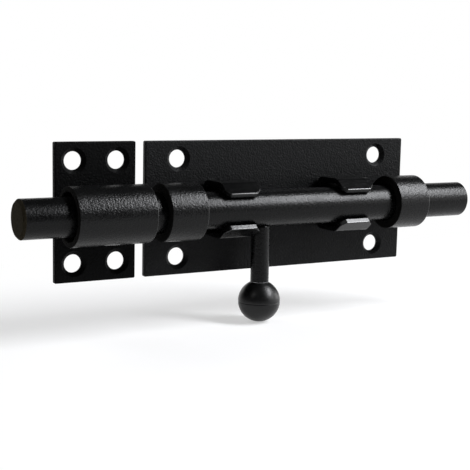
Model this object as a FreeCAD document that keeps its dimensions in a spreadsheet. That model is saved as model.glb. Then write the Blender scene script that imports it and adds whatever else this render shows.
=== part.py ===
import FreeCAD, Part
import math
import os
import Sketcher
from FreeCAD import Placement, Rotation, Vector

# Barrel bolt with a keeper: a base plate that carries a round rod in two sleeves, two clasps that
# catch the handle, and a keeper plate with a wider tube that the rod is thrown into.
# The rod runs along X, the door is at +Y behind the plates, and +Z is up.
# The origin is the middle of the base plate's back face.

SIZES = [
    ("plate_height", 50.0),
    ("plate_thickness", 2.0),
    ("plate_corner_radius", 0.6),
    ("plate_edge_rounding", 0.5),
    ("base_plate_length", 118.0),
    ("keeper_plate_width", 31.0),
    ("plate_gap", 3.8),
    ("screw_hole_diameter", 6.6),
    ("countersink_diameter", 9.4),
    ("countersink_angle", 90.0),
    ("screw_row_spacing", 36.6),
    ("base_screw_inset", 13.6),
    ("keeper_screw_spacing", 16.6),
    ("tube_diameter", 21.1),
    ("sleeve_wall", 3.3),
    ("tube_edge_chamfer", 0.4),
    ("sleeve_length", 14.8),
    ("left_sleeve_inset", 0.6),
    ("right_sleeve_inset", 1.3),
    ("sleeve_clearance", 0.25),
    ("keeper_tube_length", 29.5),
    ("keeper_clearance", 1.65),
    ("weld_root", 0.5),
    ("weld_size", 1.9),
    ("weld_toe", 0.8),
    ("weld_end_margin", 0.9),
    ("rod_length", 193.0),
    ("rod_end_chamfer", 0.9),
    ("rod_throw_past_keeper", 18.1),
    ("clasp_width", 15.3),
    ("clasp_sheet", 2.0),
    ("clasp_rod_gap", 1.4),
    ("clasp_lip_gap", 0.75),
    ("clasp_lip_length", 6.2),
    ("clasp_lip_angle", 39.0),
    ("clasp_bend_radius", 0.8),
    ("clasp_corner_chamfer", 2.2),
    ("left_clasp_inset", 24.2),
    ("right_clasp_inset", 26.7),
    ("stem_diameter", 7.0),
    ("stem_side_clearance", 0.3),
    ("saddle_clearance", 0.05),
    ("ball_diameter", 16.0),
    ("ball_drop", 35.5),
    ("spigot_diameter", 5.0),
    ("spigot_length", 7.0),
    ("spigot_clearance", 0.05),
    ("spigot_end_gap", 0.5),
]

# Places that follow from the sizes, as expressions of the sheet's cells.
BASE_LEFT = "(-Sizes.base_plate_length / 2)"
KEEPER_MIDDLE = f"({BASE_LEFT} - Sizes.plate_gap - Sizes.keeper_plate_width / 2)"
ROD_AXIS_Y = "(-(Sizes.plate_thickness + Sizes.tube_diameter / 2))"
SLEEVE_BORE = "(Sizes.tube_diameter - 2 * Sizes.sleeve_wall)"
ROD_DIAMETER = f"({SLEEVE_BORE} - 2 * Sizes.sleeve_clearance)"
KEEPER_BORE = f"({ROD_DIAMETER} + 2 * Sizes.keeper_clearance)"
LEFT_SLEEVE_X = f"({BASE_LEFT} + Sizes.left_sleeve_inset + Sizes.sleeve_length / 2)"
RIGHT_SLEEVE_X = "(Sizes.base_plate_length / 2 - Sizes.right_sleeve_inset - Sizes.sleeve_length / 2)"
LEFT_CLASP_X = f"({BASE_LEFT} + Sizes.left_clasp_inset + Sizes.clasp_width / 2)"
RIGHT_CLASP_X = "(Sizes.base_plate_length / 2 - Sizes.right_clasp_inset - Sizes.clasp_width / 2)"
ROD_LEFT_END = f"({KEEPER_MIDDLE} - Sizes.keeper_tube_length / 2 - Sizes.rod_throw_past_keeper)"
STEM_X = f"({LEFT_CLASP_X} + Sizes.clasp_width / 2 + Sizes.stem_side_clearance + Sizes.stem_diameter / 2)"

Y_AXIS = Vector(0, 1, 0)
# Lengths that differ by less than this are taken as equal.
NEAR = 1e-4


def write_sheet(doc):
    """The driving dimensions, one alias to a row."""
    sheet = doc.addObject("Spreadsheet::Sheet", "Sizes")
    for row, (alias, value) in enumerate(SIZES, start=1):
        sheet.set(f"A{row}", alias.replace("_", " "))
        sheet.set(f"B{row}", str(value))
        sheet.setAlias(f"B{row}", alias)
    doc.recompute()
    return sheet


def new_body(doc, label):
    body = doc.addObject("PartDesign::Body", label)
    body.Label = label
    return body


def place(body, x="0", y="0", z="0", turn=Rotation()):
    """Turns the body and binds its place to expressions of the sheet."""
    body.Placement = Placement(Vector(), turn)
    for axis, expression in (("x", x), ("y", y), ("z", z)):
        body.setExpression(f"Placement.Base.{axis}", expression)


def origin_plane(body, role):
    return next(part for part in body.Origin.OriginFeatures if part.Role == role)


def new_sketch(body, role, name, offset=None):
    """A sketch on one of the body's own origin planes, moved along its normal by an expression."""
    sketch = body.newObject("Sketcher::SketchObject", name)
    sketch.AttachmentSupport = [(origin_plane(body, role), "")]
    sketch.MapMode = "FlatFace"
    if offset:
        sketch.setExpression("AttachmentOffset.Base.z", offset)
    return sketch


def measure(owner, expression):
    """The present value of an expression of the sheet, in millimetres or degrees."""
    value = owner.evalExpression(expression)
    return float(getattr(value, "Value", value))


def bind(sketch, expression, *constraint):
    """A constraint whose value is an expression of the sheet."""
    value = measure(sketch, expression)
    if constraint[0] == "Angle":
        value = math.radians(value)
    index = sketch.addConstraint(Sketcher.Constraint(*constraint, value))
    sketch.setExpression(f"Constraints[{index}]", expression)


def rule(sketch, kind, *lines):
    """The same geometric constraint on each of several lines."""
    for line in lines:
        sketch.addConstraint(Sketcher.Constraint(kind, line))


def polygon(sketch, points):
    """A closed outline of straight lines, joined end to end. Line i runs from point i to point i + 1."""
    corners = [Vector(x, y, 0) for x, y in points]
    count = len(corners)
    lines = []
    for i in range(count):
        lines.append(sketch.addGeometry(Part.LineSegment(corners[i], corners[(i + 1) % count])))
    for i in range(count):
        sketch.addConstraint(Sketcher.Constraint("Coincident", lines[i], 2, lines[(i + 1) % count], 1))
    return lines


def circle(sketch, diameter, centre=None):
    """A circle round the sketch's origin, or round a centre that the caller ties down."""
    middle = Vector(*centre, 0) if centre else Vector()
    ring = sketch.addGeometry(Part.Circle(middle, Vector(0, 0, 1), measure(sketch, diameter) / 2))
    bind(sketch, diameter, "Diameter", ring)
    if not centre:
        sketch.addConstraint(Sketcher.Constraint("Coincident", ring, 3, -1, 1))
    return ring


def set_length(feature, expression, midplane=False):
    feature.setExpression("Length", expression)
    if midplane:
        feature.SideType = "Symmetric"


def edges_where(feature, test):
    """The names of the feature's edges that pass a test."""
    return [f"Edge{i}" for i, edge in enumerate(feature.Shape.Edges, start=1) if test(edge)]


def passes(edge, x=None, y=None, z=None):
    """Whether all the edge's ends have the given coordinates."""
    wanted = ((x, "X"), (y, "Y"), (z, "Z"))
    return all(value is None or all(abs(getattr(end, axis) - value) < NEAR for end in edge.Vertexes)
               for value, axis in wanted)


def is_rim(edge):
    """Whether the edge lies square to the X axis."""
    return edge.BoundBox.XLength < NEAR


def dress(body, kind, name, base, edges, size_property, expression):
    """A fillet or a chamfer on the named edges of a feature."""
    feature = body.newObject(kind, name)
    feature.Base = (base, edges)
    feature.setExpression(size_property, expression)
    body.Tip = feature
    return feature


def rounded_plate(doc, sheet, label, width, column_spacing, middle):
    """A sheet plate with four countersunk screw holes and softened front edges."""
    body = new_body(doc, label)
    outline = new_sketch(body, "XZ_Plane", f"{label}_outline")
    half_width = measure(sheet, width) / 2
    half_height = sheet.plate_height / 2
    corners = [(-half_width, -half_height), (half_width, -half_height),
               (half_width, half_height), (-half_width, half_height)]
    bottom, right, top, left = polygon(outline, corners)
    rule(outline, "Horizontal", bottom, top)
    rule(outline, "Vertical", right, left)
    bind(outline, width, "Distance", bottom)
    bind(outline, "Sizes.plate_height", "Distance", right)
    outline.addConstraint(Sketcher.Constraint("Symmetric", bottom, 1, top, 1, -1, 1))
    pad = body.newObject("PartDesign::Pad", f"{label}_pad")
    pad.Profile = outline
    set_length(pad, "Sizes.plate_thickness")
    doc.recompute()

    upright = edges_where(pad, lambda edge: abs(edge.BoundBox.YLength - sheet.plate_thickness) < NEAR)
    rounded = dress(body, "PartDesign::Fillet", f"{label}_corners", pad, upright, "Radius",
                    "Sizes.plate_corner_radius")
    doc.recompute()
    front = edges_where(rounded, lambda edge: passes(edge, y=-sheet.plate_thickness))
    dress(body, "PartDesign::Fillet", f"{label}_front_edge", rounded, front, "Radius",
          "Sizes.plate_edge_rounding")
    doc.recompute()

    holes = new_sketch(body, "XZ_Plane", f"{label}_hole_centres", "Sizes.plate_thickness")
    for side_x in (-1, 1):
        for side_z in (-1, 1):
            across = f"{side_x} * {column_spacing} / 2"
            up = f"{side_z} * Sizes.screw_row_spacing / 2"
            ring = circle(holes, "Sizes.screw_hole_diameter", (measure(sheet, across), measure(sheet, up)))
            bind(holes, across, "DistanceX", -1, 1, ring, 3)
            bind(holes, up, "DistanceY", -1, 1, ring, 3)
    doc.recompute()
    hole = body.newObject("PartDesign::Hole", f"{label}_screw_holes")
    hole.Profile = holes
    hole.DepthType = "ThroughAll"
    hole.Threaded = False
    hole.HoleCutType = "Countersink"
    hole.HoleCutCustomValues = True
    hole.setExpression("Diameter", "Sizes.screw_hole_diameter")
    hole.setExpression("HoleCutDiameter", "Sizes.countersink_diameter")
    hole.setExpression("HoleCutCountersinkAngle", "Sizes.countersink_angle * 1 deg")
    body.Tip = hole
    place(body, x=middle)
    doc.recompute()
    return body


def round_tube(doc, sheet, label, length, bore, middle):
    """A short length of tube along X whose ends have a small outer chamfer."""
    body = new_body(doc, label)
    ring = new_sketch(body, "YZ_Plane", f"{label}_section")
    circle(ring, "Sizes.tube_diameter")
    circle(ring, bore)
    pad = body.newObject("PartDesign::Pad", f"{label}_pad")
    pad.Profile = ring
    set_length(pad, length, midplane=True)
    doc.recompute()
    outer = sheet.tube_diameter / 2
    rims = edges_where(pad, lambda edge: is_rim(edge) and abs(edge.Curve.Radius - outer) < NEAR)
    dress(body, "PartDesign::Chamfer", f"{label}_rims", pad, rims, "Size", "Sizes.tube_edge_chamfer")
    place(body, x=middle, y=ROD_AXIS_Y)
    doc.recompute()
    return body


def weld_bead(doc, sheet, label, tube_length, middle, upper):
    """The bead in the groove between a tube and its plate. Its section is bounded by the plate,
    the tube's own circle and a flat face, and the lower bead is the upper one turned over."""
    radius = "(Sizes.tube_diameter / 2)"
    root = f"(sqrt({radius}^2 - ({radius} - Sizes.weld_root)^2))"
    crest = f"(sqrt({radius}^2 - ({radius} - Sizes.weld_size)^2))"
    body = new_body(doc, label)
    section = new_sketch(body, "YZ_Plane", f"{label}_section")
    low, high, size = measure(sheet, root), measure(sheet, crest), sheet.weld_size
    corners = [(0, low), (-size, low), (-size, high), (0, high + sheet.weld_toe)]
    inner, rise, face, foot = polygon(section, corners)
    rule(section, "Horizontal", inner)
    rule(section, "Vertical", rise, foot)
    section.addConstraint(Sketcher.Constraint("PointOnObject", inner, 1, -2))
    bind(section, "Sizes.weld_size", "Distance", inner)
    bind(section, root, "DistanceY", -1, 1, inner, 1)
    bind(section, crest, "DistanceY", -1, 1, rise, 2)
    bind(section, f"{crest} + Sizes.weld_toe", "DistanceY", -1, 1, foot, 1)
    pad = body.newObject("PartDesign::Pad", f"{label}_pad")
    pad.Profile = section
    set_length(pad, f"{tube_length} - 2 * Sizes.weld_end_margin", midplane=True)
    doc.recompute()
    tube = new_sketch(body, "YZ_Plane", f"{label}_tube_line")
    outline = circle(tube, "Sizes.tube_diameter", (-sheet.tube_diameter / 2, 0))
    tube.addConstraint(Sketcher.Constraint("PointOnObject", outline, 3, -1))
    bind(tube, f"-{radius}", "DistanceX", -1, 1, outline, 3)
    pocket = body.newObject("PartDesign::Pocket", f"{label}_tube_cut")
    pocket.Profile = tube
    pocket.Type = "ThroughAll"
    pocket.SideType = "Symmetric"
    body.Tip = pocket
    turn = Rotation(Y_AXIS, 0 if upper else 180)
    place(body, x=middle, y="-Sizes.plate_thickness", turn=turn)
    doc.recompute()
    return body


def corner_point(sketch, line):
    """The start of an outline's line, as a point in the body: a YZ sketch's x is Y and its y is Z."""
    start = sketch.Geometry[line].StartPoint
    return start.x, start.y


def bend_edges(feature, points):
    """The straight edges along X that pass through the given (Y, Z) points."""
    def on_bend(edge):
        return not is_rim(edge) and any(passes(edge, y=y, z=z) for y, z in points)
    return edges_where(feature, on_bend)


def clasp_outline(sheet, reach, flange_length):
    """The corners of the clasp's upper half in (Y, Z): up the web's back, out along the flange, in
    along the lip, over its tip, and back along the inner faces."""
    lean = math.radians(sheet.clasp_lip_angle)
    half_turn = math.tan(lean / 2)
    bend = (-flange_length, reach)
    tip = (bend[0] - sheet.clasp_lip_length * math.cos(lean),
           reach - sheet.clasp_lip_length * math.sin(lean))
    tip_inside = (tip[0] + sheet.clasp_sheet * math.sin(lean),
                  tip[1] - sheet.clasp_sheet * math.cos(lean))
    bend_inside = (bend[0] + sheet.clasp_sheet * half_turn, reach - sheet.clasp_sheet)
    web_inside = (-sheet.clasp_sheet, reach - sheet.clasp_sheet)
    return [(0, 0), (0, reach), bend, tip, tip_inside, bend_inside, web_inside, (-sheet.clasp_sheet, 0)]


def clasp(doc, sheet, label, middle):
    """A bent clasp round the rod: a web on the plate, two flanges that stand out from it and two
    lips that lean in over the rod. The upper half is drawn and mirrored; the mouth between the
    lips lets the handle's stem through when it points straight out."""
    inner = f"({ROD_DIAMETER} / 2 + Sizes.clasp_rod_gap)"
    reach = f"({inner} + Sizes.clasp_sheet)"
    lean = "(Sizes.clasp_lip_angle * 1 deg)"
    # How far past the rod's axis the inner faces of flange and lip meet, for the lip to keep its
    # gap from the rod.
    lip_start = f"(({ROD_DIAMETER} / 2 + Sizes.clasp_lip_gap - {inner} * cos({lean})) / sin({lean}))"
    flange_length = f"(Sizes.tube_diameter / 2 + {lip_start} + Sizes.clasp_sheet * tan({lean} / 2))"
    body = new_body(doc, label)
    section = new_sketch(body, "YZ_Plane", f"{label}_section")
    corners = clasp_outline(sheet, measure(sheet, reach), measure(sheet, flange_length))
    back, flange, lip, tip, lip_in, flange_in, web_in, centre_line = polygon(section, corners)
    rule(section, "Vertical", back, web_in)
    rule(section, "Horizontal", flange, flange_in, centre_line)
    section.addConstraint(Sketcher.Constraint("Parallel", lip, lip_in))
    section.addConstraint(Sketcher.Constraint("Perpendicular", lip, tip))
    section.addConstraint(Sketcher.Constraint("Coincident", back, 1, -1, 1))
    bind(section, reach, "Distance", back)
    bind(section, flange_length, "Distance", flange)
    bind(section, "Sizes.clasp_lip_length", "Distance", lip)
    bind(section, f"{lean} - 180 deg", "Angle", lip)
    bind(section, "Sizes.clasp_sheet", "Distance", tip)
    bind(section, "Sizes.clasp_sheet", "Distance", centre_line)
    bind(section, "Sizes.clasp_sheet", "DistanceY", flange_in, 1, flange, 2)
    half = body.newObject("PartDesign::Pad", f"{label}_half")
    half.Profile = section
    set_length(half, "Sizes.clasp_width", midplane=True)
    doc.recompute()

    tip_middle = (Vector(0, *corner_point(section, tip)) + Vector(0, *corner_point(section, lip_in))) / 2
    def on_tip(edge):
        away = edge.CenterOfMass - tip_middle
        return is_rim(edge) and math.hypot(away.y, away.z) < NEAR
    clipped = dress(body, "PartDesign::Chamfer", f"{label}_tip_corners", half, edges_where(half, on_tip),
                    "Size", "Sizes.clasp_corner_chamfer")
    doc.recompute()
    inside = [corner_point(section, line) for line in (flange_in, web_in)]
    hollow = dress(body, "PartDesign::Fillet", f"{label}_inner_bends", clipped,
                   bend_edges(clipped, inside), "Radius", "Sizes.clasp_bend_radius")
    doc.recompute()
    outside = [corner_point(section, line) for line in (flange, lip)]
    dress(body, "PartDesign::Fillet", f"{label}_outer_bends", hollow, bend_edges(hollow, outside),
          "Radius", "Sizes.clasp_bend_radius + Sizes.clasp_sheet")
    doc.recompute()
    whole = body.newObject("PartDesign::Mirrored", f"{label}_mirror")
    whole.TransformMode = "Whole shape"
    whole.MirrorPlane = (origin_plane(body, "XY_Plane"), [""])
    body.Tip = whole
    place(body, x=middle, y="-Sizes.plate_thickness")
    doc.recompute()
    return body


def bolt_rod(doc):
    """The round rod, chamfered at both ends."""
    body = new_body(doc, "bolt_rod")
    section = new_sketch(body, "YZ_Plane", "bolt_rod_section")
    circle(section, ROD_DIAMETER)
    pad = body.newObject("PartDesign::Pad", "bolt_rod_pad")
    pad.Profile = section
    set_length(pad, "Sizes.rod_length")
    doc.recompute()
    dress(body, "PartDesign::Chamfer", "bolt_rod_ends", pad, edges_where(pad, is_rim), "Size",
          "Sizes.rod_end_chamfer")
    place(body, x=ROD_LEFT_END, y=ROD_AXIS_Y)
    doc.recompute()
    return body


def revolve(body, sketch, name):
    """A full turn of the sketch round its own upright axis."""
    turn = body.newObject("PartDesign::Revolution", name)
    turn.Profile = sketch
    turn.ReferenceAxis = (sketch, ["V_Axis"])
    turn.Angle = 360
    body.Tip = turn
    return turn


# The ball's flat seat is as wide as the stem, and lies this far above the ball's centre.
SEAT_HEIGHT = "sqrt((Sizes.ball_diameter / 2)^2 - (Sizes.stem_diameter / 2)^2)"


def handle_stem(doc, sheet):
    """The stem that hangs from the rod: a saddle at its top that fits round the rod, a shoulder
    that stands on the ball and a spigot that enters it."""
    body = new_body(doc, "handle_stem")
    shoulder = f"(Sizes.ball_drop - {SEAT_HEIGHT})"
    half = new_sketch(body, "XZ_Plane", "handle_stem_half_section")
    radius, inner = sheet.stem_diameter / 2, sheet.spigot_diameter / 2
    ledge_z = -measure(sheet, shoulder)
    foot_z = ledge_z - sheet.spigot_length
    corners = [(0, 0), (radius, 0), (radius, ledge_z), (inner, ledge_z), (inner, foot_z), (0, foot_z)]
    top, side, ledge, spigot, foot, axis = polygon(half, corners)
    rule(half, "Horizontal", top, ledge, foot)
    rule(half, "Vertical", side, spigot, axis)
    half.addConstraint(Sketcher.Constraint("Coincident", top, 1, -1, 1))
    bind(half, "Sizes.stem_diameter / 2", "Distance", top)
    bind(half, "Sizes.spigot_diameter / 2", "Distance", foot)
    bind(half, shoulder, "Distance", side)
    bind(half, "Sizes.spigot_length", "Distance", spigot)
    revolve(body, half, "handle_stem_turned")
    doc.recompute()
    rod_line = new_sketch(body, "YZ_Plane", "handle_stem_rod_line")
    circle(rod_line, f"{ROD_DIAMETER} + 2 * Sizes.saddle_clearance")
    saddle = body.newObject("PartDesign::Pocket", "handle_stem_saddle")
    saddle.Profile = rod_line
    saddle.Type = "ThroughAll"
    saddle.SideType = "Symmetric"
    body.Tip = saddle
    place(body, x=STEM_X, y=ROD_AXIS_Y)
    doc.recompute()
    return body


def ball_knob(doc, sheet):
    """The ball at the stem's end, with a flat seat for the stem's shoulder and a blind hole for
    its spigot."""
    body = new_body(doc, "ball_knob")
    half = new_sketch(body, "XZ_Plane", "ball_knob_half_section")
    radius, seat_radius = sheet.ball_diameter / 2, sheet.stem_diameter / 2
    hole_radius = sheet.spigot_diameter / 2 + sheet.spigot_clearance
    seat_z = measure(sheet, SEAT_HEIGHT)
    floor_z = seat_z - sheet.spigot_length - sheet.spigot_end_gap
    corners = [Vector(0, floor_z, 0), Vector(hole_radius, floor_z, 0), Vector(hole_radius, seat_z, 0),
               Vector(seat_radius, seat_z, 0)]
    floor, wall, rim = [half.addGeometry(Part.LineSegment(corners[i], corners[i + 1])) for i in range(3)]
    full = Part.Circle(Vector(), Vector(0, 0, 1), radius)
    # The arc runs anticlockwise from the ball's lowest point up to the seat's edge.
    skin = half.addGeometry(Part.ArcOfCircle(full, -math.pi / 2, math.acos(seat_radius / radius)))
    axis = half.addGeometry(Part.LineSegment(Vector(0, -radius, 0), corners[0]))
    joins = ((floor, 2, wall, 1), (wall, 2, rim, 1), (rim, 2, skin, 2), (skin, 1, axis, 1),
             (axis, 2, floor, 1))
    for first, first_end, second, second_end in joins:
        half.addConstraint(Sketcher.Constraint("Coincident", first, first_end, second, second_end))
    rule(half, "Horizontal", floor, rim)
    rule(half, "Vertical", wall, axis)
    half.addConstraint(Sketcher.Constraint("Coincident", skin, 3, -1, 1))
    half.addConstraint(Sketcher.Constraint("PointOnObject", axis, 1, -2))
    bind(half, "Sizes.ball_diameter / 2", "Radius", skin)
    bind(half, "Sizes.spigot_diameter / 2 + Sizes.spigot_clearance", "Distance", floor)
    bind(half, "Sizes.spigot_length + Sizes.spigot_end_gap", "Distance", wall)
    bind(half, SEAT_HEIGHT, "DistanceY", -1, 1, rim, 1)
    revolve(body, half, "ball_knob_turned")
    place(body, x=STEM_X, y=ROD_AXIS_Y, z="-Sizes.ball_drop")
    doc.recompute()
    return body


def check(doc, bodies):
    """Stops when any object failed or any sub-part has no valid solid."""
    for obj in doc.Objects:
        failed = [state for state in obj.State if state in ("Invalid", "Error")]
        if failed:
            raise RuntimeError(f"{obj.Name} is {failed}")
    for body in bodies:
        shape = body.Shape
        if shape.isNull() or not shape.isValid() or len(shape.Solids) != 1:
            raise RuntimeError(f"{body.Label} has no single valid solid")


def main():
    doc = FreeCAD.newDocument("barrel_bolt")
    sheet = write_sheet(doc)
    base_columns = "(Sizes.base_plate_length - 2 * Sizes.base_screw_inset)"
    bodies = [
        rounded_plate(doc, sheet, "base_plate", "Sizes.base_plate_length", base_columns, "0"),
        rounded_plate(doc, sheet, "keeper_plate", "Sizes.keeper_plate_width",
                      "Sizes.keeper_screw_spacing", KEEPER_MIDDLE),
    ]
    tubes = (
        ("left_sleeve", "Sizes.sleeve_length", SLEEVE_BORE, LEFT_SLEEVE_X),
        ("right_sleeve", "Sizes.sleeve_length", SLEEVE_BORE, RIGHT_SLEEVE_X),
        ("keeper_tube", "Sizes.keeper_tube_length", KEEPER_BORE, KEEPER_MIDDLE),
    )
    for label, length, bore, middle in tubes:
        bodies.append(round_tube(doc, sheet, label, length, bore, middle))
        bodies.append(weld_bead(doc, sheet, f"{label}_upper_weld", length, middle, True))
        bodies.append(weld_bead(doc, sheet, f"{label}_lower_weld", length, middle, False))
    bodies.append(clasp(doc, sheet, "left_clasp", LEFT_CLASP_X))
    bodies.append(clasp(doc, sheet, "right_clasp", RIGHT_CLASP_X))
    bodies.append(bolt_rod(doc))
    bodies.append(handle_stem(doc, sheet))
    bodies.append(ball_knob(doc, sheet))

    doc.recompute()
    check(doc, bodies)
    os.makedirs("parts", exist_ok=True)
    for body in bodies:
        body.Shape.exportStep(f"parts/{body.Label}.step")
        print(body.Label, round(body.Shape.Volume, 2), body.Shape.BoundBox)


main()
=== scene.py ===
import math

import bmesh
import bpy
import numpy as np
from mathutils import Euler, Matrix, Vector


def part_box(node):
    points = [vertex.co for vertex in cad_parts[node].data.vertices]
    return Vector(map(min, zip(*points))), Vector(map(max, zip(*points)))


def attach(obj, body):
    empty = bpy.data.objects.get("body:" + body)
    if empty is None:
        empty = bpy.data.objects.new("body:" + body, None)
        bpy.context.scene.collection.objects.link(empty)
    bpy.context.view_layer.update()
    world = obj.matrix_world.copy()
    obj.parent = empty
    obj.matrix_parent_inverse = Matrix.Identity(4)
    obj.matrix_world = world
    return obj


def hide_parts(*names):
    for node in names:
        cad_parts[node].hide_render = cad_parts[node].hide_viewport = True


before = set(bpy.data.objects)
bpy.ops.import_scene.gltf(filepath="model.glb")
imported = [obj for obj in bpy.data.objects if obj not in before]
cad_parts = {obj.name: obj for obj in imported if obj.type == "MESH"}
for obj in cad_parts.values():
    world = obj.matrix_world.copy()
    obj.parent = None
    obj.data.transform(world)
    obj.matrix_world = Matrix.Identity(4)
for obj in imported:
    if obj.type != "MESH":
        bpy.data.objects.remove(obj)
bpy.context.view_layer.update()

MM = 0.001

# Where the pieces are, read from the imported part.
rod_low, rod_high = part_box("bolt_rod")
ball_low, ball_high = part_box("ball_knob")
stem_low, stem_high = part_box("handle_stem")
base_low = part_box("base_plate")[0]
ROD_RADIUS = (rod_high.z - rod_low.z) / 2
ROD_AXIS_Y = (rod_high.y + rod_low.y) / 2
STEM_X = (stem_high.x + stem_low.x) / 2
BALL_RADIUS = (ball_high.x - ball_low.x) / 2
BALL_CENTRE_Z = ball_low.z + BALL_RADIUS
PLATE_FRONT_Y = base_low.y
FLOOR_GAP = 0.05 * MM
FLOOR_Z = ball_low.z - FLOOR_GAP

# Real sizes of the coated edges and of what the boxes don't give.
ROD_END_CHAMFER = 0.9 * MM
ROD_EDGE_RADIUS = 0.35 * MM
TUBE_RIM_RADIUS = 0.45 * MM
TUBE_BORE_RIM_RADIUS = 0.4 * MM
SLEEVE_BORE_RADIUS = 7.25 * MM
KEEPER_BORE_RADIUS = 8.65 * MM
SADDLE_CLEARANCE = 0.05 * MM
SPIGOT_RADIUS = 2.5 * MM
SPIGOT_LENGTH = 7.0 * MM
SPIGOT_CLEARANCE = 0.05 * MM
SPIGOT_END_GAP = 0.5 * MM
SPIGOT_END_RADIUS = 0.2 * MM
STEM_RADIUS = (stem_high.x - stem_low.x) / 2
STEM_SHOULDER_RADIUS = 0.35 * MM
BALL_SEAT_EDGE_RADIUS = 0.5 * MM
BALL_LINE_DEPTH = 0.085 * MM
BALL_LINE_WIDTH = 0.20 * MM
BALL_LINE_DROP = 0.1 * MM
CLASP_SHEET = 2.0 * MM
CLASP_LIP_ANGLE = math.radians(39.0)
CLASP_LIP_LENGTH = 6.2 * MM
CLASP_BEND_RADIUS = 0.8 * MM
CLASP_CORNER = 2.2 * MM
CLASP_CORNER_SOFTNESS = 0.35 * MM
CLASP_EDGE_RADIUS = 0.30 * MM
WELD_ROOT = 0.5 * MM
WELD_SIZE = 1.9 * MM
WELD_TOE = 0.8 * MM
WELD_RIPPLE_PITCH = 1.25 * MM
WELD_RIPPLE_HEIGHT = 0.16 * MM
WELD_CROWN = 0.28 * MM
WELD_END_TAPER = 1.6 * MM
WELD_RIPPLE_LAG = 0.35
WELD_DRIFT = 0.18
WELD_DRIFT_RATE = 1.7
WELD_DRIFT_START = 0.6

# How finely the surfaces are divided.
MERGE_DISTANCE = 1e-7
TURN_STEPS = 192
ARC_STEPS = 6
SUPPORT = 0.12 * MM
BALL_ROWS = 96
BALL_LINE_ROWS = 25
BALL_LINE_SPAN = 3
SADDLE_ROWS = 10
CLASP_END_SHARE = 1.5
CLASP_END_ROWS = 12
CLASP_TIP_ROWS = 7
WELD_ROWS = 140
WELD_FACE_POINTS = 17
WELD_PLATE_POINTS = 6
WELD_TUBE_POINTS = 8

# How far a face looks along an axis where it has the coat of a cut end, a rim or an end edge.
CUT_FACE_FACING = 0.999
RIM_FACING = 0.15
EDGE_FACING = 0.80
EDGE_FACE_LIMIT = 0.985


def arc_between(before, corner, after, radius):
    """The rounded corner of a path, as points: the circle of that radius that touches both runs."""
    to_before = (before - corner) / np.linalg.norm(before - corner)
    to_after = (after - corner) / np.linalg.norm(after - corner)
    half = math.acos(np.clip(to_before @ to_after, -1.0, 1.0)) / 2
    reach = radius / math.tan(half)
    middle = (to_before + to_after) / np.linalg.norm(to_before + to_after)
    centre = corner + middle * radius / math.sin(half)
    start = corner + to_before * reach - centre
    end = corner + to_after * reach - centre
    turn = math.pi - 2 * half
    share = np.linspace(0.0, 1.0, ARC_STEPS + 1)[:, None]
    swung = np.sin((1 - share) * turn) * start + np.sin(share * turn) * end
    return centre + swung / math.sin(turn)


def softened(corners, radii, closed=False):
    """A path with rounded corners, with a support point close to each end of every straight run, so
    that the smooth shading stays flat along the run."""
    corners = [np.asarray(c, float) for c in corners]
    count = len(corners)
    pieces = []
    for i, (corner, radius) in enumerate(zip(corners, radii)):
        inner = closed or 0 < i < count - 1
        if inner and radius > 0:
            pieces.append(arc_between(corners[i - 1], corner, corners[(i + 1) % count], radius))
        else:
            pieces.append(corner[None])
    path = []
    for i, piece in enumerate(pieces):
        path.append(piece)
        if i + 1 < count or closed:
            start, end = piece[-1], pieces[(i + 1) % count][0]
            run = np.linalg.norm(end - start)
            if run > 3 * SUPPORT:
                along = (end - start) / run
                path.append(np.array([start + along * SUPPORT, end - along * SUPPORT]))
    return np.vstack(path)


def add_mesh(name, points, faces):
    """A mesh object at the origin from points and faces, with doubles merged and faces outwards."""
    mesh = bpy.data.meshes.new(name)
    mesh.from_pydata(points.reshape(-1, 3).tolist(), [], faces.tolist())
    work = bmesh.new()
    work.from_mesh(mesh)
    bmesh.ops.remove_doubles(work, verts=work.verts, dist=MERGE_DISTANCE)
    bmesh.ops.dissolve_degenerate(work, edges=work.edges, dist=MERGE_DISTANCE)
    bmesh.ops.recalc_face_normals(work, faces=work.faces)
    work.to_mesh(mesh)
    work.free()
    mesh.polygons.foreach_set("use_smooth", np.ones(len(mesh.polygons), bool))
    piece = bpy.data.objects.new(name, mesh)
    bpy.context.scene.collection.objects.link(piece)
    return piece


def grid_faces(rows, columns, close_rows=False, close_columns=True):
    """The quads of a grid of points, joined round its rows or columns where it closes."""
    row = np.arange(rows if close_rows else rows - 1)
    column = np.arange(columns if close_columns else columns - 1)
    r, c = np.meshgrid(row, column, indexing="ij")
    r2, c2 = (r + 1) % rows, (c + 1) % columns
    corners = [r * columns + c, r * columns + c2, r2 * columns + c2, r2 * columns + c]
    return np.stack(corners, axis=-1).reshape(-1, 4)


def turned(name, path, centre, along, closed=False):
    """A turned piece. A point at (s, a) is the path's own point s, its first number carried along the
    axis and its second, the radius, turned by the angle a round it."""
    angle = np.linspace(0, 2 * math.pi, TURN_STEPS, endpoint=False)
    height, radius = path[:, :1], path[:, 1:]
    flat = np.zeros((len(path), TURN_STEPS))
    across, up = radius * np.cos(angle), radius * np.sin(angle)
    lift = height + flat
    stack = [lift, across, up] if along == "X" else [across, up, lift]
    points = np.stack(stack, axis=-1) + np.array(centre)
    return add_mesh(name, points, grid_faces(len(path), TURN_STEPS, close_rows=closed))


def coated_tube(node, bore):
    """A length of tube with rounded rims, turned from a closed section of four corners."""
    low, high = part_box(node)
    outer = (high.z - low.z) / 2
    centre_y = low.y + outer
    corners = [(low.x, outer), (high.x, outer), (high.x, bore), (low.x, bore)]
    radii = [TUBE_RIM_RADIUS, TUBE_RIM_RADIUS, TUBE_BORE_RIM_RADIUS, TUBE_BORE_RIM_RADIUS]
    path = softened(corners, radii, closed=True)
    return turned(f"{node}_coated", path, (0, centre_y, 0), "X", closed=True)


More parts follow.
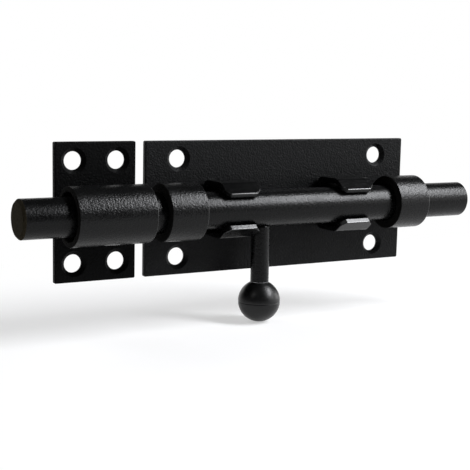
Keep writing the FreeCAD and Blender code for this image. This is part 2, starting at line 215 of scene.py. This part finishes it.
def coated_rod():
    """The round rod, with its chamfers' corners rounded by the coat."""
    left, right, cut = rod_low.x, rod_high.x, ROD_END_CHAMFER
    corners = [(left, 0), (left, ROD_RADIUS - cut), (left + cut, ROD_RADIUS),
               (right - cut, ROD_RADIUS), (right, ROD_RADIUS - cut), (right, 0)]
    soft = ROD_EDGE_RADIUS
    path = softened(corners, [0, soft, soft, soft, soft, 0])
    return turned("bolt_rod_coated", path, (0, ROD_AXIS_Y, 0), "X")


def ball():
    """The ball, turned from a circle's arc that ends at the flat seat, with the spigot's blind hole.
    The arc's radius dips by a bell curve of the height, which leaves the fine line round the ball."""
    seat_height = math.sqrt(BALL_RADIUS**2 - STEM_RADIUS**2)
    hole = SPIGOT_RADIUS + SPIGOT_CLEARANCE
    floor_height = seat_height - SPIGOT_LENGTH - SPIGOT_END_GAP
    seat_angle = math.acos(STEM_RADIUS / BALL_RADIUS)
    edge_turn = BALL_SEAT_EDGE_RADIUS / BALL_RADIUS
    line_angle = -BALL_LINE_DROP / BALL_RADIUS
    span = np.linspace(-BALL_LINE_SPAN, BALL_LINE_SPAN, BALL_LINE_ROWS)
    near_line = line_angle + span * BALL_LINE_WIDTH / BALL_RADIUS
    angle = np.linspace(-math.pi / 2, seat_angle - edge_turn, BALL_ROWS)
    angle = np.sort(np.concatenate([angle, near_line]))
    dip = BALL_LINE_DEPTH * np.exp(-((angle - line_angle) * BALL_RADIUS / BALL_LINE_WIDTH) ** 2)
    skin = (BALL_RADIUS - dip)[:, None] * np.stack([np.sin(angle), np.cos(angle)], axis=-1)
    skin[0] = (-BALL_RADIUS, 0)
    seat = np.array([(seat_height, STEM_RADIUS - BALL_SEAT_EDGE_RADIUS), (seat_height, hole),
                     (floor_height, hole), (floor_height, 0)])
    path = np.vstack([skin, seat])
    return turned("ball_knob_coated", path, (STEM_X, ROD_AXIS_Y, BALL_CENTRE_Z), "Z")


def stem():
    """The stem. Over its saddle a point at radius q and angle a lies on the rod's own cylinder, at
    minus the root of R squared less (q sin a) squared; below it the same rim runs straight down to
    the shoulder, and the spigot follows."""
    angle = np.linspace(0, 2 * math.pi, TURN_STEPS, endpoint=False)
    saddle_radius = ROD_RADIUS + SADDLE_CLEARANCE
    reach = np.linspace(0, STEM_RADIUS, SADDLE_ROWS)[:, None]
    cap_height = -np.sqrt(saddle_radius**2 - (reach * np.sin(angle)) ** 2)
    shoulder = stem_low.z + SPIGOT_LENGTH
    foot = [(STEM_RADIUS, shoulder), (SPIGOT_RADIUS, shoulder), (SPIGOT_RADIUS, stem_low.z),
            (0, stem_low.z)]
    start = (STEM_RADIUS, cap_height[-1].min() - SUPPORT)
    below = softened([start] + foot, [0, STEM_SHOULDER_RADIUS, 0, SPIGOT_END_RADIUS, 0])
    radius = np.vstack([reach, below[:, :1]])
    height = np.vstack([cap_height, below[:, 1:] + 0 * angle])
    x, y = STEM_X + radius * np.cos(angle), ROD_AXIS_Y + radius * np.sin(angle)
    points = np.stack([x, y, height], axis=-1)
    return add_mesh("handle_stem_coated", points, grid_faces(len(radius), TURN_STEPS))


def clasp(node):
    """A clasp bent from sheet. A line runs round its C from the lower tip to the upper one; each point
    of it carries a rectangle with rounded corners, as thick as the sheet and as wide as the clasp, and
    the width narrows by the corners' cut towards both tips."""
    low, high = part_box(node)
    half_sheet = CLASP_SHEET / 2
    reach = high.z - half_sheet
    lip_sine, lip_cosine = math.sin(CLASP_LIP_ANGLE), math.cos(CLASP_LIP_ANGLE)
    lip_end_y = low.y + half_sheet * lip_sine
    lip_end_z = high.z - CLASP_LIP_LENGTH * lip_sine - half_sheet * lip_cosine
    bend_y = lip_end_y + (reach - lip_end_z) / math.tan(CLASP_LIP_ANGLE)
    web_y = high.y - half_sheet
    upper = [(web_y, reach), (bend_y, reach), (lip_end_y, lip_end_z)]
    lower = [(y, -z) for y, z in reversed(upper)]
    bend = CLASP_BEND_RADIUS + half_sheet
    line = softened(lower + upper, [0, bend, bend, bend, bend, 0])
    step = np.linalg.norm(np.diff(line, axis=0), axis=1)
    travel = np.concatenate([[0], np.cumsum(step)])
    along = np.gradient(line, travel, axis=0)

    cut_reach = CLASP_END_SHARE * CLASP_CORNER
    own = travel[(travel > cut_reach) & (travel < travel[-1] - cut_reach)]
    from_tip = np.linspace(CLASP_EDGE_RADIUS + SUPPORT, cut_reach, CLASP_END_ROWS)
    body = np.concatenate([from_tip, own, travel[-1] - from_tip[::-1]])
    body_half = clasp_half_width(np.minimum(body, travel[-1] - body), high.x - low.x)
    thickness, rounding = half_sheet + 0 * body, CLASP_EDGE_RADIUS + 0 * body
    body_rows = np.stack([body, body_half, thickness, rounding], axis=-1)
    tip_rows = clasp_tip(clasp_half_width(0.0, high.x - low.x), half_sheet)
    far_rows = tip_rows[::-1] * (-1, 1, 1, 1) + (travel[-1], 0, 0, 0)
    rows = np.vstack([tip_rows, body_rows, far_rows])

    centre = np.stack([np.interp(rows[:, 0], travel, line[:, k]) for k in (0, 1)], axis=-1)
    heading = np.stack([np.interp(rows[:, 0], travel, along[:, k]) for k in (0, 1)], axis=-1)
    heading /= np.linalg.norm(heading, axis=1)[:, None]
    across, up = rounded_rectangles(rows[:, 1:2], rows[:, 2:3], rows[:, 3:4])
    x = (high.x + low.x) / 2 + across
    y = centre[:, :1] - heading[:, 1:] * up
    z = centre[:, 1:] + heading[:, :1] * up
    points = np.stack([x, y, z], axis=-1)
    return add_mesh(f"{node}_coated", points, grid_faces(len(rows), across.shape[1]))


def clasp_half_width(from_tip, width):
    """Half the clasp's width at a way from its tip, with the cut corner's own corners softened."""
    cut = CLASP_CORNER - from_tip
    return width / 2 - (cut + np.sqrt(cut**2 + CLASP_CORNER_SOFTNESS**2)) / 2


def clasp_tip(half_width, half_sheet):
    """The rows of a rounded tip: way along the line, half width, half thickness and corner radius. At
    the angle t of its rounding a row has gone r (1 - cos t) along and is r (1 - sin t) thinner; its
    width follows the same circle as far as the 45 degree cut, and then the cut."""
    r = CLASP_EDGE_RADIUS
    t = np.linspace(0, math.pi / 2, CLASP_TIP_ROWS)
    on_circle = half_width - r * math.tan(math.pi / 8) + r * np.sin(t)
    on_cut = half_width + r * (1 - np.cos(t))
    width = np.where(t < math.pi / 4, on_circle, on_cut)
    thickness = half_sheet - r + r * np.sin(t)
    rings = np.stack([r * (1 - np.cos(t)), width, thickness, r * np.sin(t)], axis=-1)
    inner = rings[0] - (0, SUPPORT, SUPPORT, 0)
    return np.vstack([[0, 0, 0, 0], inner, rings])


def rounded_rectangles(half_width, half_height, radius):
    """Rectangles with rounded corners, a row of points each, with support points by the corners."""
    turn = np.linspace(0, math.pi / 2, ARC_STEPS + 1)
    flat_x, flat_y = half_width - radius, half_height - radius
    near_x = flat_x - np.minimum(SUPPORT, flat_x / 2)
    near_y = flat_y - np.minimum(SUPPORT, flat_y / 2)
    across, up = [], []
    for i, (sx, sy) in enumerate(((1, 1), (-1, 1), (-1, -1), (1, -1))):
        angle = turn + i * math.pi / 2
        before = (sx * half_width, sy * near_y) if i % 2 == 0 else (sx * near_x, sy * half_height)
        after = (sx * near_x, sy * half_height) if i % 2 == 0 else (sx * half_width, sy * near_y)
        across += [before[0], sx * flat_x + radius * np.cos(angle), after[0]]
        up += [before[1], sy * flat_y + radius * np.sin(angle), after[1]]
    return np.hstack(across), np.hstack(up)


def weld(node, tube_node):
    """A weld bead in the groove between tube and plate. Round its section a point runs along the
    plate, up the tube's circle and back over the bead's face; the face swells by a crown and by
    ripples whose crests lag towards the edges, and the section shrinks to its root at both ends."""
    low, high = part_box(node)
    tube_low, tube_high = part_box(tube_node)
    radius = (tube_high.z - tube_low.z) / 2
    rise = 1.0 if high.z > 0 else -1.0
    root = math.sqrt(radius**2 - (radius - WELD_ROOT) ** 2)
    crest = math.sqrt(radius**2 - (radius - WELD_SIZE) ** 2)
    face_share = np.linspace(0, 1, WELD_FACE_POINTS)
    top = np.array([-WELD_SIZE, crest])
    toe = np.array([0.0, crest + WELD_TOE])
    face = top + face_share[:, None] * (toe - top)
    outwards = np.array([-(toe - top)[1], (toe - top)[0]]) / np.linalg.norm(toe - top)
    plate_z = np.linspace(toe[1], root, WELD_PLATE_POINTS)[1:]
    plate_run = np.column_stack([0 * plate_z, plate_z])
    root_angle, crest_angle = math.asin(root / radius), math.asin(crest / radius)
    tube_angle = np.linspace(root_angle, crest_angle, WELD_TUBE_POINTS)[:-1]
    tube_run = np.column_stack([radius * np.cos(tube_angle) - radius, radius * np.sin(tube_angle)])
    section = np.vstack([face, plate_run, tube_run])
    x = np.linspace(low.x, high.x, WELD_ROWS)
    from_end = np.minimum(x - low.x, high.x - x)
    swell = np.sqrt(np.clip(1 - (1 - np.clip(from_end / WELD_END_TAPER, 0, 1)) ** 2, 0, 1))
    lag = WELD_RIPPLE_LAG * (2 * face_share - 1) ** 2
    phase = x[:, None] / WELD_RIPPLE_PITCH + lag[None, :]
    wander = x[:, None] / WELD_RIPPLE_PITCH * WELD_DRIFT_RATE + WELD_DRIFT_START
    drift = WELD_DRIFT * np.sin(wander)
    ripple = np.abs(np.sin(math.pi * (phase + drift)))
    across = np.sin(math.pi * face_share)[None, :]
    height = across * (WELD_CROWN + WELD_RIPPLE_HEIGHT * ripple)
    offset = np.zeros((WELD_ROWS, len(section), 2))
    offset[:, : len(face)] = height[..., None] * outwards
    anchor = np.array([0.0, root])
    yz = anchor + (section[None] + offset - anchor) * swell[:, None, None]
    stack = [x[:, None] + 0 * yz[..., 0], PLATE_FRONT_Y + yz[..., 0], rise * yz[..., 1]]
    points = np.stack(stack, axis=-1)
    return add_mesh(f"{node}_coated", points, grid_faces(WELD_ROWS, len(section)))


# The coats: sizes of their grains and waves, how far these spread the roughness, and their tones.
NOISE_LOW, NOISE_HIGH = 0.3, 0.7
NOISE_ROUGHNESS = 0.6
FINE_DETAIL = 3.0
SOFT_DETAIL = 2.0
GRAIN_SIZE = 0.70 * MM
SAND_SIZE = 0.80 * MM
SAND_SHARE = 0.5
PEEL_SIZE = 2.6 * MM
PEEL_ROUGHNESS = (-0.02, 0.02)
GRAIN_ROUGHNESS = (-0.035, 0.035)
CLOUD_SIZE = 14 * MM
CLOUD_ROUGHNESS = (-0.03, 0.03)
TONE_SPREAD = 0.4
COAT_TONE = (0.0020, 0.0021, 0.0022)
PLATE_TONE = (0.0042, 0.0044, 0.0047)
# The keeper plate's tone is darker than the base plate's as painted shade, for the light the keeper
# catches less.
KEEPER_SHADED_TONE = (0.0015, 0.0016, 0.0017)
CUT_TONE = (0.0030, 0.0029, 0.0027)
ROD_CUT_TONE = (0.0190, 0.0160, 0.0100)
# The light tone of a painted highlight: the bright ring at the stem's foot.
PAINTED_HIGHLIGHT_TONE = (0.16, 0.16, 0.165)


def new_node(tree, kind, **settings):
    """A shader node with its properties and its inputs' values set by name."""
    made = tree.nodes.new(kind)
    for name, value in settings.items():
        if hasattr(made, name):
            setattr(made, name, value)
        else:
            made.inputs[name.replace("_", " ")].default_value = value
    return made


def feed(tree, socket, value):
    """Gives a socket a plain number, or links it to another node's value."""
    if isinstance(value, float):
        socket.default_value = value
    else:
        tree.links.new(value, socket)


def maths(tree, operation, first, second, **settings):
    """Two values, given or linked, joined by an operation such as ADD or MULTIPLY."""
    made = new_node(tree, "ShaderNodeMath", operation=operation, **settings)
    feed(tree, made.inputs[0], first)
    feed(tree, made.inputs[1], second)
    return made.outputs[0]


def mapped_noise(tree, place, size, detail, values):
    """Noise with grains of a size, plain and spread over a range of values."""
    low, high = values
    noise = new_node(tree, "ShaderNodeTexNoise", Scale=1 / size, Detail=detail,
                     Roughness=NOISE_ROUGHNESS)
    spread = tree.nodes.new("ShaderNodeMapRange")
    spread.inputs["From Min"].default_value = NOISE_LOW
    spread.inputs["From Max"].default_value = NOISE_HIGH
    spread.inputs["To Min"].default_value = low
    spread.inputs["To Max"].default_value = high
    tree.links.new(place, noise.inputs["Vector"])
    tree.links.new(noise.outputs["Fac"], spread.inputs["Value"])
    return noise.outputs["Fac"], spread.outputs["Result"]


def powder_coat(name, tone, roughness, grain_depth, peel_depth, gloss):
    """A black powder coat: two dark tones mixed in grains, a sandy bump over a soft orange peel, and
    a roughness that varies with the peel and, more widely, with soft clouds."""
    material = bpy.data.materials.new(name)
    material.use_nodes = True
    tree = material.node_tree
    shader = tree.nodes["Principled BSDF"]
    shader.inputs["Specular IOR Level"].default_value = gloss
    place = tree.nodes.new("ShaderNodeTexCoord").outputs["Object"]

    grain, tone_mix = mapped_noise(tree, place, GRAIN_SIZE, FINE_DETAIL, (0.0, 1.0))
    grain_rough = mapped_noise(tree, place, SAND_SIZE, FINE_DETAIL, GRAIN_ROUGHNESS)[1]
    peel, peel_rough = mapped_noise(tree, place, PEEL_SIZE, SOFT_DETAIL, PEEL_ROUGHNESS)
    cloud_rough = mapped_noise(tree, place, CLOUD_SIZE, SOFT_DETAIL, CLOUD_ROUGHNESS)[1]
    sand = new_node(tree, "ShaderNodeTexVoronoi", feature="F1", Scale=1 / SAND_SIZE)
    tree.links.new(place, sand.inputs["Vector"])

    colours = new_node(tree, "ShaderNodeMix", data_type="RGBA")
    colours.inputs["A"].default_value = (*[c * (1 - TONE_SPREAD) for c in tone], 1)
    colours.inputs["B"].default_value = (*[c * (1 + TONE_SPREAD) for c in tone], 1)
    tree.links.new(tone_mix, colours.inputs["Factor"])
    tree.links.new(colours.outputs["Result"], shader.inputs["Base Color"])

    wide_rough = maths(tree, "ADD", peel_rough, cloud_rough)
    varied = maths(tree, "ADD", wide_rough, grain_rough)
    tree.links.new(maths(tree, "ADD", varied, roughness), shader.inputs["Roughness"])

    normal = None
    bumps = ((peel, peel_depth), (sand.outputs["Distance"], grain_depth * SAND_SHARE),
             (grain, grain_depth))
    for height, depth in bumps:
        bump = tree.nodes.new("ShaderNodeBump")
        bump.inputs["Strength"].default_value = 1.0
        bump.inputs["Distance"].default_value = depth
        tree.links.new(height, bump.inputs["Height"])
        if normal:
            tree.links.new(normal, bump.inputs["Normal"])
        normal = bump.outputs["Normal"]
    tree.links.new(normal, shader.inputs["Normal"])
    return material


plate_coat = powder_coat("plate_powder_coat", PLATE_TONE, roughness=0.46,
                         grain_depth=0.19 * MM, peel_depth=0.08 * MM, gloss=0.10)
# The same powder coat as the base plate's, darkened as painted shade for the keeper plate.
keeper_shaded_coat = powder_coat("keeper_shaded_powder_coat", KEEPER_SHADED_TONE, roughness=0.50,
                          grain_depth=0.19 * MM, peel_depth=0.08 * MM, gloss=0.045)
tube_coat = powder_coat("tube_powder_coat", COAT_TONE, roughness=0.28,
                        grain_depth=0.085 * MM, peel_depth=0.03 * MM, gloss=0.20)
rod_coat = powder_coat("rod_powder_coat", COAT_TONE, roughness=0.28,
                       grain_depth=0.065 * MM, peel_depth=0.02 * MM, gloss=0.16)
clasp_coat = powder_coat("clasp_powder_coat", COAT_TONE, roughness=0.20,
                         grain_depth=0.030 * MM, peel_depth=0.02 * MM, gloss=0.20)
rim_coat = powder_coat("rim_powder_coat", COAT_TONE, roughness=0.26,
                       grain_depth=0.020 * MM, peel_depth=0.03 * MM, gloss=0.75)
knob_coat = powder_coat("knob_smooth_coat", COAT_TONE, roughness=0.34,
                        grain_depth=0.040 * MM, peel_depth=0.04 * MM, gloss=0.30)
edge_coat = powder_coat("clasp_edge_coat", COAT_TONE, roughness=0.18,
                        grain_depth=0.020 * MM, peel_depth=0.02 * MM, gloss=0.85)
# A light coat that paints a highlight, the bright ring at the stem's foot.
painted_highlight_coat = powder_coat("painted_highlight_ring_coat", PAINTED_HIGHLIGHT_TONE, roughness=0.40,
                        grain_depth=0.030 * MM, peel_depth=0.03 * MM, gloss=0.50)
cut_coat = powder_coat("cut_end_coat", CUT_TONE, roughness=0.85,
                       grain_depth=0.090 * MM, peel_depth=0.10 * MM, gloss=0.04)
rod_cut_coat = powder_coat("rod_cut_end_coat", ROD_CUT_TONE, roughness=0.85,
                           grain_depth=0.080 * MM, peel_depth=0.06 * MM, gloss=0.03)


def face_values(mesh, what):
    """The normals or the centres of a mesh's faces, a row each."""
    values = np.empty(3 * len(mesh.polygons))
    mesh.polygons.foreach_get(what, values)
    return values.reshape(-1, 3)


def finish_piece(piece, node, body, coat, cut=None, rim=None):
    """Puts a piece on its body in place of its CAD node, with its coat. A piece that is cut at its
    ends has the matt coat of the cut on its end faces and on the rims that look left, and the coat
    of the rims on those that look right."""
    mesh = piece.data
    mesh.materials.append(coat)
    if cut:
        mesh.materials.append(cut)
        mesh.materials.append(rim or coat)
        facing = face_values(mesh, "normal")[:, 0]
        part = np.where(facing > RIM_FACING, 2, np.where(facing < -RIM_FACING, 1, 0))
        part[np.abs(facing) > CUT_FACE_FACING] = 1
        mesh.polygons.foreach_set("material_index", part.astype(np.int32))
    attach(piece, body)
    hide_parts(node)


def finish_stem(piece):
    """Puts the stem on the handle in place of its CAD node, with a painted highlight at its foot: a
    ring of light coat on the shoulder's rounded edge, where the ball is tightened against it."""
    mesh = piece.data
    mesh.materials.append(rod_coat)
    mesh.materials.append(painted_highlight_coat)
    middle = face_values(mesh, "center")
    shoulder = stem_low.z + SPIGOT_LENGTH
    from_axis = np.hypot(middle[:, 0] - STEM_X, middle[:, 1] - ROD_AXIS_Y)
    outside = from_axis > STEM_RADIUS - STEM_SHOULDER_RADIUS
    # The faces that carry the painted highlight: the outer faces by the shoulder's rounded edge.
    highlight_ring_faces = outside & (middle[:, 2] < shoulder + STEM_SHOULDER_RADIUS)
    mesh.polygons.foreach_set("material_index", highlight_ring_faces.astype(np.int32))
    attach(piece, "handle")
    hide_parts("handle_stem")


def finish_clasp(piece, node):
    """Puts a clasp on the mounting in place of its CAD node. The coat is thin and shines on the lips'
    rounded end edges, whose faces look between the lip's own face and its end."""
    mesh = piece.data
    mesh.materials.append(clasp_coat)
    mesh.materials.append(edge_coat)
    facing = face_values(mesh, "normal")
    at_tip = face_values(mesh, "center")[:, 1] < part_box(node)[0].y + CLASP_SHEET
    lean = (math.sin(CLASP_LIP_ANGLE), math.cos(CLASP_LIP_ANGLE))
    on_face = -facing[:, 1] * lean[0] + np.abs(facing[:, 2]) * lean[1]
    on_edge = at_tip & (-facing[:, 1] > EDGE_FACING) & (on_face < EDGE_FACE_LIMIT)
    mesh.polygons.foreach_set("material_index", on_edge.astype(np.int32))
    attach(piece, "mounting")
    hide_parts(node)


for node, coat in (("base_plate", plate_coat), ("keeper_plate", keeper_shaded_coat)):
    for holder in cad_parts[node].material_slots:
        holder.material = coat

TUBES = (("left_sleeve", SLEEVE_BORE_RADIUS), ("right_sleeve", SLEEVE_BORE_RADIUS),
         ("keeper_tube", KEEPER_BORE_RADIUS))
for tube, bore in TUBES:
    finish_piece(coated_tube(tube, bore), tube, "mounting", tube_coat,
                 cut=cut_coat, rim=rim_coat)
    for side in ("upper", "lower"):
        bead = f"{tube}_{side}_weld"
        finish_piece(weld(bead, tube), bead, "mounting", tube_coat)
for node in ("left_clasp", "right_clasp"):
    finish_clasp(clasp(node), node)
finish_piece(coated_rod(), "bolt_rod", "rod", rod_coat, rod_cut_coat)
finish_stem(stem())
finish_piece(ball(), "ball_knob", "handle", knob_coat)


# The studio: pale paper that opens away from the camera on a greyer floor, a tall strip softbox above
# and to the right, a side window and a low white card to the right, a weak fill at the left and one
# at the back, and a dim room.
CAMERA_PLACE = Vector((-228.53, -355.11, 46.78)) * MM
VIEW_AHEAD = Vector((0.507, 0.862, 0.0))
VIEW_RIGHT_SIDE = Vector((0.73, -0.68, 0.0))
VIEW_LEFT_SIDE = Vector((-0.966, -0.259, 0.0))
FLOOR_INNER_RADIUS = 0.5
FLOOR_RADIUS = 5.0
FLOOR_STEPS = 96
PAPER_ROUGHNESS = 0.9
PAPER_TONE, PAPER_WHITENESS = 0.86, 0.48
OUTER_TONE, OUTER_WHITENESS = 0.30, 0.0
PAPER_RIGHT_FULL, PAPER_RIGHT_ENDS = 0.10, 0.40
PAPER_LEFT_FULL, PAPER_LEFT_ENDS = 0.08, 0.45
PAPER_NEAR_FULL, PAPER_NEAR_ENDS = 0.24, 0.12
BACKGROUND_STARTS, BACKGROUND_WHITE_AT = 0.05, 0.14
ROOM_LIGHT = 0.04
PLAIN_LIGHT = (1.0, 1.0, 1.0)
UPWARDS = Vector((0, 0, 1))
ROOM_RIGHT_FULL, ROOM_RIGHT_ENDS = 0.10, 0.50
ROOM_LEFT_FULL, ROOM_LEFT_ENDS = 0.0, 0.25
ROOM_WHITE_UP_TO, ROOM_WHITE_ENDS_AT = 0.30, 0.50
STRIP_AT = Vector((0.84, -0.64, 0.92))
STRIP_WIDTH, STRIP_HEIGHT = 0.38, 0.95
STRIP_RADIANCE = 28.0
STRIP_TINT = (0.96, 0.97, 1.0)
STRIP_UPRIGHT = Vector((0.0, 0.84, 0.54))
CARD_AT = Vector((0.77, -0.64, 0.20))
CARD_WIDTH, CARD_HEIGHT = 0.70, 0.46
CARD_RADIANCE = 1.8
EDGE_AT = Vector((1.00, -0.03, 0.22))
EDGE_WIDTH, EDGE_HEIGHT = 0.60, 0.56
EDGE_RADIANCE = 3.6
LEFT_AT = Vector((-0.95, -0.30, 0.85))
BACK_AT = Vector((-0.45, 0.90, 0.80))
FILL_WIDTH, FILL_HEIGHT = 0.50, 0.70
LEFT_RADIANCE = 1.2
BACK_RADIANCE = 4.0


def seen_rays(tree):
    """One for the rays that look at the background: the camera's, the glossy and the transmitted."""
    path = tree.nodes.new("ShaderNodeLightPath")
    first = maths(tree, "ADD", path.outputs["Is Camera Ray"], path.outputs["Is Glossy Ray"])
    return maths(tree, "ADD", first, path.outputs["Is Transmission Ray"], use_clamp=True)


def ramp(tree, value, start, end, low=0.0, high=1.0):
    """A smooth step from low to high between two values."""
    step = new_node(tree, "ShaderNodeMapRange", interpolation_type="SMOOTHSTEP")
    step.inputs["From Min"].default_value = start
    step.inputs["From Max"].default_value = end
    step.inputs["To Min"].default_value = low
    step.inputs["To Max"].default_value = high
    tree.links.new(value, step.inputs["Value"])
    return step.outputs["Result"]


def inside_view(tree, vector, origin, right, left):
    """One within the wedge that the photograph shows, fading to nothing at its left and right. Each
    side is given by where the fading starts and ends beyond the wedge."""
    shares = []
    for side, (side_full, side_ends) in ((VIEW_RIGHT_SIDE, right), (VIEW_LEFT_SIDE, left)):
        reach = new_node(tree, "ShaderNodeVectorMath", operation="DOT_PRODUCT")
        reach.inputs[1].default_value = side
        tree.links.new(vector, reach.inputs[0])
        start = origin.dot(side)
        shares.append(ramp(tree, reach.outputs["Value"], start + side_ends, start + side_full))
    return maths(tree, "MULTIPLY", *shares)


def mixed_numbers(tree, share, low, high):
    """Goes from one value, given or linked, to another as the share goes from nothing to one."""
    mix = new_node(tree, "ShaderNodeMix", data_type="FLOAT")
    tree.links.new(share, mix.inputs["Factor"])
    feed(tree, mix.inputs["A"], low)
    feed(tree, mix.inputs["B"], high)
    return mix.outputs["Result"]


def floor_paper():
    """Pale matt paper on a greyer floor. Seen directly, or in a reflection, it is part plain white,
    and it turns into plain white behind the object."""
    material = bpy.data.materials.new("floor_paper")
    material.use_nodes = True
    tree = material.node_tree
    shader = tree.nodes["Principled BSDF"]
    shader.inputs["Roughness"].default_value = PAPER_ROUGHNESS
    shader.inputs["Specular IOR Level"].default_value = 0.0
    place = tree.nodes.new("ShaderNodeTexCoord").outputs["Object"]
    right, left = (PAPER_RIGHT_FULL, PAPER_RIGHT_ENDS), (PAPER_LEFT_FULL, PAPER_LEFT_ENDS)
    sides = inside_view(tree, place, CAMERA_PLACE, right, left)
    ahead = new_node(tree, "ShaderNodeVectorMath", operation="DOT_PRODUCT")
    ahead.inputs[1].default_value = VIEW_AHEAD
    tree.links.new(place, ahead.inputs[0])
    start = CAMERA_PLACE.dot(VIEW_AHEAD)
    near = ramp(tree, ahead.outputs["Value"], start + PAPER_NEAR_ENDS, start + PAPER_NEAR_FULL)
    paper = maths(tree, "MULTIPLY", sides, near)
    tone = mixed_numbers(tree, paper, OUTER_TONE, PAPER_TONE)
    grey = tree.nodes.new("ShaderNodeCombineColor")
    for channel in ("Red", "Green", "Blue"):
        tree.links.new(tone, grey.inputs[channel])
    tree.links.new(grey.outputs["Color"], shader.inputs["Base Color"])
    white = new_node(tree, "ShaderNodeEmission", Color=(1, 1, 1, 1), Strength=1.0)
    split = tree.nodes.new("ShaderNodeSeparateXYZ")
    tree.links.new(place, split.inputs["Vector"])
    behind = ramp(tree, split.outputs["Y"], BACKGROUND_STARTS, BACKGROUND_WHITE_AT,
                  PAPER_WHITENESS, 1.0)
    whiteness = mixed_numbers(tree, paper, OUTER_WHITENESS, behind)
    mix = tree.nodes.new("ShaderNodeMixShader")
    tree.links.new(maths(tree, "MULTIPLY", whiteness, seen_rays(tree)), mix.inputs[0])
    tree.links.new(shader.outputs[0], mix.inputs[1])
    tree.links.new(white.outputs[0], mix.inputs[2])
    tree.links.new(mix.outputs[0], tree.nodes["Material Output"].inputs["Surface"])
    return material


def add_floor():
    """A flat disc: a point at (q, a) is at the radius q and the angle a round the object."""
    angle = np.linspace(0, 2 * math.pi, FLOOR_STEPS, endpoint=False)
    radius = np.array([0.0, FLOOR_INNER_RADIUS, FLOOR_RADIUS])[:, None]
    stack = [radius * np.cos(angle), radius * np.sin(angle), FLOOR_Z + 0 * radius * angle]
    floor = add_mesh("floor", np.stack(stack, axis=-1), grid_faces(len(radius), len(angle)))
    floor.data.materials.append(floor_paper())


def add_room():
    """A dim even room. Low down behind the object it is white to the rays that look at it."""
    world = bpy.data.worlds.new("room")
    bpy.context.scene.world = world
    world.use_nodes = True
    tree = world.node_tree
    background = tree.nodes["Background"]
    direction = tree.nodes.new("ShaderNodeTexCoord").outputs["Generated"]
    split = tree.nodes.new("ShaderNodeSeparateXYZ")
    tree.links.new(direction, split.inputs["Vector"])
    right, left = (ROOM_RIGHT_FULL, ROOM_RIGHT_ENDS), (ROOM_LEFT_FULL, ROOM_LEFT_ENDS)
    behind = inside_view(tree, direction, Vector(), right, left)
    low_down = ramp(tree, split.outputs["Z"], ROOM_WHITE_ENDS_AT, ROOM_WHITE_UP_TO)
    white_room = maths(tree, "MULTIPLY", behind, low_down)
    share = maths(tree, "MULTIPLY", white_room, seen_rays(tree))
    tone = new_node(tree, "ShaderNodeMix", data_type="RGBA")
    tone.inputs["A"].default_value = (ROOM_LIGHT, ROOM_LIGHT, ROOM_LIGHT, 1)
    tone.inputs["B"].default_value = (1, 1, 1, 1)
    tree.links.new(share, tone.inputs["Factor"])
    tree.links.new(tone.outputs["Result"], background.inputs["Color"])


def add_softbox(name, place, width, height, radiance, tint=PLAIN_LIGHT, upwards=UPWARDS):
    """A rectangular area light that looks at the object, its height near the given way up. Its power
    follows from its radiance and area."""
    light = bpy.data.lights.new(name, "AREA")
    light.shape = "RECTANGLE"
    light.size = width
    light.size_y = height
    light.energy = radiance * math.pi * width * height
    light.color = tint
    lamp = bpy.data.objects.new(name, light)
    bpy.context.scene.collection.objects.link(lamp)
    towards = place.normalized()
    upright = (upwards - towards * upwards.dot(towards)).normalized()
    across = upright.cross(towards)
    turn = Matrix((across, upright, towards)).transposed()
    lamp.matrix_world = Matrix.Translation(place) @ turn.to_4x4()
    lamp.visible_camera = False


add_floor()
add_room()
add_softbox("left_softbox", LEFT_AT, FILL_WIDTH, FILL_HEIGHT, LEFT_RADIANCE)
add_softbox("back_softbox", BACK_AT, FILL_WIDTH, FILL_HEIGHT, BACK_RADIANCE)
add_softbox("strip_softbox", STRIP_AT, STRIP_WIDTH, STRIP_HEIGHT, STRIP_RADIANCE,
            tint=STRIP_TINT, upwards=STRIP_UPRIGHT)
add_softbox("side_window", EDGE_AT, EDGE_WIDTH, EDGE_HEIGHT, EDGE_RADIANCE)
add_softbox("white_card", CARD_AT, CARD_WIDTH, CARD_HEIGHT, CARD_RADIANCE)

# The camera stands to the left of the object and a little above it.
CAMERA_TURN = Euler([math.radians(a) for a in (81.913, -1.178, -30.315)], "XYZ")
SENSOR_WIDTH = 36.0
PICTURE_WIDTH = 470
FOCAL_LENGTH_IN_PIXELS = 1076.98
NEAREST_SEEN = 0.01

camera_data = bpy.data.cameras.new("camera")
camera_data.sensor_width = SENSOR_WIDTH
camera_data.lens = SENSOR_WIDTH * FOCAL_LENGTH_IN_PIXELS / PICTURE_WIDTH
camera_data.clip_start = NEAREST_SEEN
camera = bpy.data.objects.new("camera", camera_data)
bpy.context.scene.collection.objects.link(camera)
camera.location = CAMERA_PLACE
camera.rotation_euler = CAMERA_TURN
bpy.context.scene.camera = camera
bpy.context.scene.view_settings.view_transform = "Standard"
